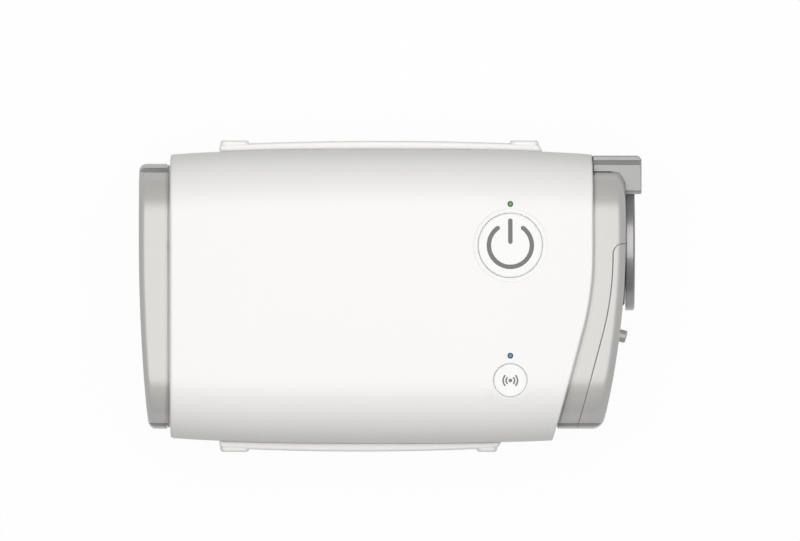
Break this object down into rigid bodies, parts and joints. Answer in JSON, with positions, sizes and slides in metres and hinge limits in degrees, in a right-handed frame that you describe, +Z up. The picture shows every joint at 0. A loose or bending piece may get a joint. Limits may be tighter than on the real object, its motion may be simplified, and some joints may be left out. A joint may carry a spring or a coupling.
{
  "type": "travel cpap machine",
  "caption": "Small bedside air blower in a rounded white case with grey ends, a power button, a pairing button, a snap-off filter cover and a round air outlet beside a power socket.",
  "frame": {"origin": "On the resting plane, under the middle of the whole machine", "axes": "+X from the intake end to the outlet end, +Y from the front edge to the back edge, +Z up out of the button face"},
  "size_m": [0.136, 0.0844, 0.052],
  "materials": {
    "shell": "satin white moulded plastic",
    "ends": "satin light grey moulded plastic",
    "collar": "gloss mid grey plastic",
    "button": "fine satin white keycap",
    "rubber": "soft pale rubber",
    "foam": "open cell acoustic foam",
    "filter": "pressed white filter fibre",
    "silicone": "translucent grey silicone",
    "inner": "dark glass filled plastic",
    "steel": "bright zinc plated steel",
    "copper": "enamelled copper winding on laminated steel",
    "board": "green solder mask",
    "chip": "black moulded component body",
    "green_light": "clear green light pipe",
    "blue_light": "clear blue light pipe"
  },
  "bodies": {
    "machine": {"upper_case": "shell", "lower_case": "shell", "foot_intake_back": "rubber", "foot_intake_front": "rubber", "foot_outlet_back": "rubber", "foot_outlet_front": "rubber", "case_screw_intake_back": "steel", "case_screw_intake_front": "steel", "case_screw_outlet_back": "steel", "case_screw_outlet_front": "steel", "back_rail": "shell", "front_rail": "shell", "intake_frame": "ends", "intake_foam": "foam", "outlet_end_cap": "ends", "port_panel": "ends", "outlet_collar": "collar", "hose_guard": "ends", "power_socket": "inner", "power_socket_pin": "steel", "outlet_bellows": "silicone", "outlet_duct": "inner", "outlet_seal": "silicone", "volute_lower": "inner", "volute_upper": "inner", "motor_cap": "inner", "motor_stator": "copper", "bearing_lower": "steel", "bearing_upper": "steel", "blower_mount_1": "silicone", "blower_mount_2": "silicone", "blower_mount_3": "silicone", "circuit_board": "board", "board_screw_1": "steel", "board_screw_2": "steel", "board_screw_3": "steel", "board_screw_4": "steel", "processor_chip": "chip", "radio_module": "steel", "power_inductor": "chip", "pressure_sensor": "chip", "power_lead": "chip", "motor_lead": "chip", "power_dome": "silicone", "power_switch": "chip", "power_led": "green_light", "power_light_pipe": "green_light", "pairing_dome": "silicone", "pairing_switch": "chip", "pairing_led": "blue_light", "pairing_light_pipe": "blue_light"},
    "rotor": {"impeller": "shell", "rotor_shaft": "steel", "rotor_magnet": "chip"},
    "filter_cover_body": {"filter_cover": "ends", "air_filter": "filter"},
    "power_button_body": {"power_button": "button", "power_switch_stem": "inner"},
    "pairing_button_body": {"pairing_button": "button", "pairing_switch_stem": "inner"}
  },
  "joints": [
    {"name": "power_button_press", "type": "slide", "parent": "machine", "child": "power_button_body", "axis": [0, 0, -1], "range_m": [0, 0.0006], "stiffness_N_per_m": 1200, "deforming": ["power_dome"]},
    {"name": "pairing_button_press", "type": "slide", "parent": "machine", "child": "pairing_button_body", "axis": [0, 0, -1], "range_m": [0, 0.0006], "stiffness_N_per_m": 1200, "deforming": ["pairing_dome"]},
    {"name": "filter_cover_pull", "type": "slide", "parent": "machine", "child": "filter_cover_body", "axis": [-1, 0, 0], "range_m": [0, 0.02]},
    {"name": "rotor_spin", "type": "hinge", "parent": "machine", "child": "rotor", "pos_m": [-0.006, -0.0037, 0.0069], "axis": [0, 0, 1], "continuous": true}
  ]
}
